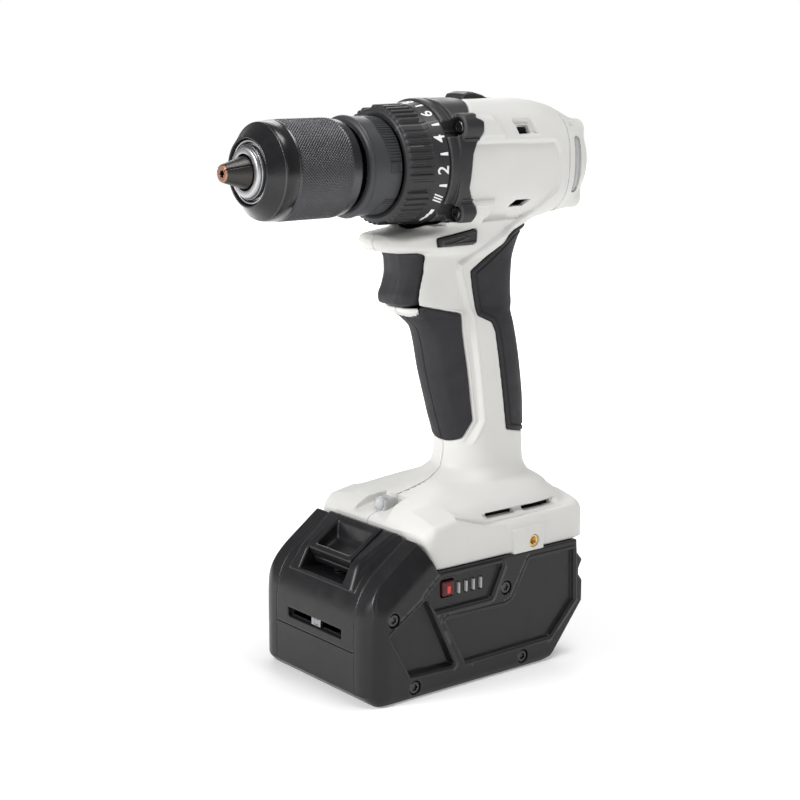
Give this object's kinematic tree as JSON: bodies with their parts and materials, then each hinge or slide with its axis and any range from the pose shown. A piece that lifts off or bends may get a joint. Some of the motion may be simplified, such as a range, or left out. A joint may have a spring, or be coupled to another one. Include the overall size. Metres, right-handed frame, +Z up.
{
  "type": "cordless drill driver",
  "caption": "Pistol-grip cordless drill driver with keyless chuck, torque ring, trigger and controls, rubber grip pads, work light and a slide-on battery pack.",
  "frame": {"origin": "on the battery's flat bottom face in the mid-plane, 60 mm behind the battery's front face", "axes": "+Z up, -Y the way the chuck points, +X the tool's left side"},
  "size_m": [0.0848, 0.1918, 0.2628],
  "materials": {
    "housing_left": "fine-textured off-white polymer",
    "housing_right": "fine-textured off-white polymer",
    "rear_cap": "fine-textured off-white polymer",
    "front_pad_left": "soft moulded rubber",
    "front_pad_right": "soft moulded rubber",
    "rear_pad_left": "soft moulded rubber",
    "rear_pad_right": "soft moulded rubber",
    "gearcase": "satin black polymer",
    "gearcase_screw_1": "dark burnished steel",
    "gearcase_screw_2": "dark burnished steel",
    "gearcase_screw_3": "dark burnished steel",
    "gearcase_screw_4": "dark burnished steel",
    "rear_screw_left": "dark burnished steel",
    "rear_screw_right": "dark burnished steel",
    "mode_collar": "satin dark grey polymer",
    "spindle_bearing": "machined steel",
    "ring_gear": "machined steel",
    "motor_can": "machined steel",
    "switch_body": "satin black polymer",
    "control_board": "green circuit board",
    "lamp_lens": "clear lens",
    "hook_insert_left": "machined brass",
    "hook_insert_right": "machined brass",
    "trigger_spring": "machined steel",
    "spindle": "machined steel",
    "planet_carrier": "machined steel",
    "chuck_body": "machined steel",
    "chuck_nose_ring": "machined steel",
    "chuck_sleeve": "dark burnished steel",
    "chuck_jaw_1": "dark burnished steel",
    "chuck_jaw_2": "dark burnished steel",
    "chuck_jaw_3": "dark burnished steel",
    "planet_gear_1": "machined steel",
    "planet_gear_2": "machined steel",
    "planet_gear_3": "machined steel",
    "rotor": "laminated steel and copper",
    "cooling_fan": "satin black polymer",
    "clutch_ring": "satin black polymer",
    "speed_slider": "satin black polymer",
    "direction_button": "satin black polymer",
    "trigger": "satin dark grey polymer",
    "battery_upper_case": "satin black polymer",
    "battery_lower_case": "satin black polymer",
    "battery_shell_left": "satin black polymer",
    "battery_shell_right": "satin black polymer",
    "cell_row_lower": "shrink-wrapped cells",
    "cell_row_upper": "shrink-wrapped cells",
    "battery_board": "green circuit board",
    "gauge_light_guide": "clear light guide",
    "latch_spring": "machined steel",
    "battery_screw_left_1": "dark burnished steel",
    "battery_screw_left_2": "dark burnished steel",
    "battery_screw_left_3": "dark burnished steel",
    "battery_screw_left_4": "dark burnished steel",
    "battery_screw_right_1": "dark burnished steel",
    "battery_screw_right_2": "dark burnished steel",
    "battery_screw_right_3": "dark burnished steel",
    "battery_screw_right_4": "dark burnished steel",
    "latch_button": "satin black polymer",
    "gauge_button": "translucent red button"
  },
  "bodies": {
    "housing": {"housing_left": "housing_left", "housing_right": "housing_right", "rear_cap": "rear_cap", "front_pad_left": "front_pad_left", "front_pad_right": "front_pad_right", "rear_pad_left": "rear_pad_left", "rear_pad_right": "rear_pad_right", "gearcase": "gearcase", "gearcase_screw_1": "gearcase_screw_1", "gearcase_screw_2": "gearcase_screw_2", "gearcase_screw_3": "gearcase_screw_3", "gearcase_screw_4": "gearcase_screw_4", "rear_screw_left": "rear_screw_left", "rear_screw_right": "rear_screw_right", "mode_collar": "mode_collar", "spindle_bearing": "spindle_bearing", "ring_gear": "ring_gear", "motor_can": "motor_can", "switch_body": "switch_body", "control_board": "control_board", "lamp_lens": "lamp_lens", "hook_insert_left": "hook_insert_left", "hook_insert_right": "hook_insert_right", "trigger_spring": "trigger_spring"},
    "spindle": {"spindle": "spindle", "planet_carrier": "planet_carrier", "chuck_body": "chuck_body", "chuck_nose_ring": "chuck_nose_ring"},
    "sleeve": {"chuck_sleeve": "chuck_sleeve"},
    "jaw_1": {"chuck_jaw_1": "chuck_jaw_1"},
    "jaw_2": {"chuck_jaw_2": "chuck_jaw_2"},
    "jaw_3": {"chuck_jaw_3": "chuck_jaw_3"},
    "planet_1": {"planet_gear_1": "planet_gear_1"},
    "planet_2": {"planet_gear_2": "planet_gear_2"},
    "planet_3": {"planet_gear_3": "planet_gear_3"},
    "rotor": {"rotor": "rotor", "cooling_fan": "cooling_fan"},
    "clutch": {"clutch_ring": "clutch_ring"},
    "speed": {"speed_slider": "speed_slider"},
    "direction": {"direction_button": "direction_button"},
    "trigger": {"trigger": "trigger"},
    "battery": {"battery_upper_case": "battery_upper_case", "battery_lower_case": "battery_lower_case", "battery_shell_left": "battery_shell_left", "battery_shell_right": "battery_shell_right", "cell_row_lower": "cell_row_lower", "cell_row_upper": "cell_row_upper", "battery_board": "battery_board", "gauge_light_guide": "gauge_light_guide", "latch_spring": "latch_spring", "battery_screw_left_1": "battery_screw_left_1", "battery_screw_left_2": "battery_screw_left_2", "battery_screw_left_3": "battery_screw_left_3", "battery_screw_left_4": "battery_screw_left_4", "battery_screw_right_1": "battery_screw_right_1", "battery_screw_right_2": "battery_screw_right_2", "battery_screw_right_3": "battery_screw_right_3", "battery_screw_right_4": "battery_screw_right_4"},
    "latch": {"latch_button": "latch_button"},
    "gauge": {"gauge_button": "gauge_button"}
  },
  "joints": [
    {"name": "spindle_turn", "type": "hinge", "parent": "housing", "child": "spindle", "pos_m": [0, 0, 0.2317], "axis": [0, 1, 0], "continuous": true},
    {"name": "sleeve_turn", "type": "hinge", "parent": "spindle", "child": "sleeve", "pos_m": [0, 0, 0.2317], "axis": [0, 1, 0], "range_deg": [0, 2520]},
    {"name": "jaw_1_slide", "type": "slide", "parent": "spindle", "child": "jaw_1", "axis": [0, 0.9537, 0.3007], "range_m": [0, 0.0191]},
    {"name": "jaw_2_slide", "type": "slide", "parent": "spindle", "child": "jaw_2", "axis": [-0.2604, 0.9537, -0.1504], "range_m": [0, 0.0191]},
    {"name": "jaw_3_slide", "type": "slide", "parent": "spindle", "child": "jaw_3", "axis": [0.2604, 0.9537, -0.1504], "range_m": [0, 0.0191]},
    {"name": "rotor_turn", "type": "hinge", "parent": "housing", "child": "rotor", "pos_m": [0, 0, 0.2317], "axis": [0, 1, 0], "continuous": true},
    {"name": "planet_1_turn", "type": "hinge", "parent": "spindle", "child": "planet_1", "pos_m": [0, 0.01, 0.242], "axis": [0, 1, 0], "continuous": true},
    {"name": "planet_2_turn", "type": "hinge", "parent": "spindle", "child": "planet_2", "pos_m": [-0.00892, 0.01, 0.22655], "axis": [0, 1, 0], "continuous": true},
    {"name": "planet_3_turn", "type": "hinge", "parent": "spindle", "child": "planet_3", "pos_m": [0.00892, 0.01, 0.22655], "axis": [0, 1, 0], "continuous": true},
    {"name": "clutch_turn", "type": "hinge", "parent": "housing", "child": "clutch", "pos_m": [0, 0, 0.2317], "axis": [0, 1, 0], "range_deg": [-10, 290]},
    {"name": "speed_slide", "type": "slide", "parent": "housing", "child": "speed", "axis": [0, 1, 0], "range_m": [0, 0.008]},
    {"name": "direction_slide", "type": "slide", "parent": "housing", "child": "direction", "axis": [1, 0, 0], "range_m": [-0.003, 0.003]},
    {"name": "trigger_pull", "type": "slide", "parent": "housing", "child": "trigger", "axis": [0, 1, 0], "range_m": [0, 0.007], "stiffness_N_per_m": 400, "deforming": ["trigger_spring"]},
    {"name": "battery_slide", "type": "slide", "parent": "housing", "child": "battery", "axis": [0, -1, 0], "range_m": [0, 0.11]},
    {"name": "latch_press", "type": "slide", "parent": "battery", "child": "latch", "axis": [0, 0.2501, -0.9682], "range_m": [0, 0.002], "stiffness_N_per_m": 900, "deforming": ["latch_spring"]},
    {"name": "gauge_press", "type": "slide", "parent": "battery", "child": "gauge", "axis": [-1, 0, 0], "range_m": [0, 0.001], "stiffness_N_per_m": 600}
  ],
  "couplings": [
    {"joint": "jaw_1_slide", "follows": "sleeve_turn", "m_per_rad": 0.000432},
    {"joint": "jaw_2_slide", "follows": "sleeve_turn", "m_per_rad": 0.000432},
    {"joint": "jaw_3_slide", "follows": "sleeve_turn", "m_per_rad": 0.000432},
    {"joint": "rotor_turn", "follows": "spindle_turn", "ratio": 5.7778},
    {"joint": "planet_1_turn", "follows": "spindle_turn", "ratio": -2.5294},
    {"joint": "planet_2_turn", "follows": "spindle_turn", "ratio": -2.5294},
    {"joint": "planet_3_turn", "follows": "spindle_turn", "ratio": -2.5294}
  ]
}
